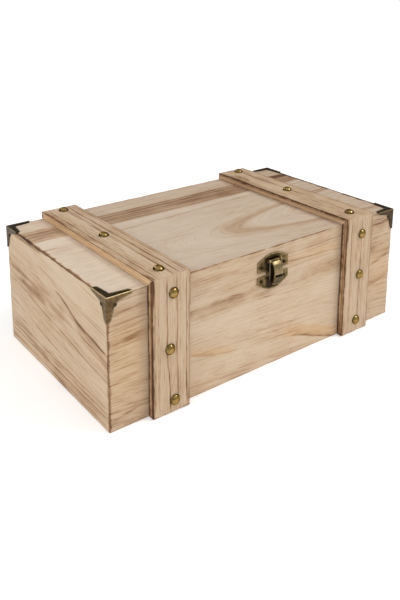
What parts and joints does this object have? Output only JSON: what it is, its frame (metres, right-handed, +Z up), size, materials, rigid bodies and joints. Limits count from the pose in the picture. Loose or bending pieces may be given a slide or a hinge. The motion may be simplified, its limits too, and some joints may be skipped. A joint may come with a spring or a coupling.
{
  "type": "decorative wooden chest",
  "caption": "Small rectangular wooden storage chest with a hinged lid, straps over its lid and front, domed nails, metal corner brackets and a hasp latch.",
  "frame": {"origin": "middle of the underside of the base, where the chest stands", "axes": "+X along the length, to the right as seen from the front; +Y towards the hinges at the back, so the latch faces -Y; +Z up"},
  "size_m": [0.3534, 0.2134, 0.1299],
  "materials": {
    "panel_wood": "pale lightly torched wood, matt, brown grain bands",
    "lid_wood": "pale lightly torched wood, matt, dark scorched edges",
    "strap_wood": "torched wood with dark lengthwise grain, matt",
    "nail_brass": "polished antique brass",
    "bracket_bronze": "dark antique bronze plating, worn bright along its ridges",
    "latch_bronze": "antique bronze plating",
    "hinge_bronze": "antique bronze plating",
    "pin_steel": "plain steel wire"
  },
  "bodies": {
    "base": {"base_front_panel": "panel_wood", "base_back_panel": "panel_wood", "base_left_panel": "panel_wood", "base_right_panel": "panel_wood", "base_bottom_panel": "panel_wood", "strap_front_lower_left": "strap_wood", "strap_front_lower_right": "strap_wood", "nail_front_left_middle": "nail_brass", "nail_front_left_lower": "nail_brass", "nail_front_right_middle": "nail_brass", "nail_front_right_lower": "nail_brass", "hinge_left_base_leaf": "hinge_bronze", "hinge_right_base_leaf": "hinge_bronze", "hinge_left_pin": "pin_steel", "hinge_right_pin": "pin_steel", "hinge_left_nail_base_outer": "hinge_bronze", "hinge_left_nail_base_inner": "hinge_bronze", "hinge_right_nail_base_outer": "hinge_bronze", "hinge_right_nail_base_inner": "hinge_bronze", "latch_lower_plate": "latch_bronze", "latch_nail_lower_left": "latch_bronze", "latch_nail_lower_right": "latch_bronze"},
    "lid": {"lid_top_panel": "lid_wood", "lid_front_rail": "lid_wood", "lid_back_rail": "lid_wood", "lid_left_rail": "lid_wood", "lid_right_rail": "lid_wood", "strap_top_left": "strap_wood", "strap_top_right": "strap_wood", "strap_front_upper_left": "strap_wood", "strap_front_upper_right": "strap_wood", "nail_top_left_front": "nail_brass", "nail_top_left_middle": "nail_brass", "nail_top_left_back": "nail_brass", "nail_top_right_front": "nail_brass", "nail_top_right_middle": "nail_brass", "nail_top_right_back": "nail_brass", "nail_front_left_upper": "nail_brass", "nail_front_right_upper": "nail_brass", "corner_bracket_front_left": "bracket_bronze", "corner_bracket_front_right": "bracket_bronze", "corner_bracket_back_left": "bracket_bronze", "corner_bracket_back_right": "bracket_bronze", "hinge_left_lid_leaf": "hinge_bronze", "hinge_right_lid_leaf": "hinge_bronze", "hinge_left_nail_lid_outer": "hinge_bronze", "hinge_left_nail_lid_inner": "hinge_bronze", "hinge_right_nail_lid_outer": "hinge_bronze", "hinge_right_nail_lid_inner": "hinge_bronze", "latch_upper_plate": "latch_bronze", "latch_pin": "pin_steel", "latch_nail_upper_left": "latch_bronze", "latch_nail_upper_right": "latch_bronze"},
    "latch_flap": {"latch_flap": "latch_bronze"}
  },
  "joints": [
    {"name": "lid_hinge", "type": "hinge", "parent": "base", "child": "lid", "pos_m": [0, 0.0995, 0.0936], "axis": [-1, 0, 0], "range_deg": [0, 100]},
    {"name": "flap_hinge", "type": "hinge", "parent": "lid", "child": "latch_flap", "pos_m": [0.0015, -0.1004, 0.107], "axis": [-1, 0, 0], "range_deg": [0, 140]}
  ]
}
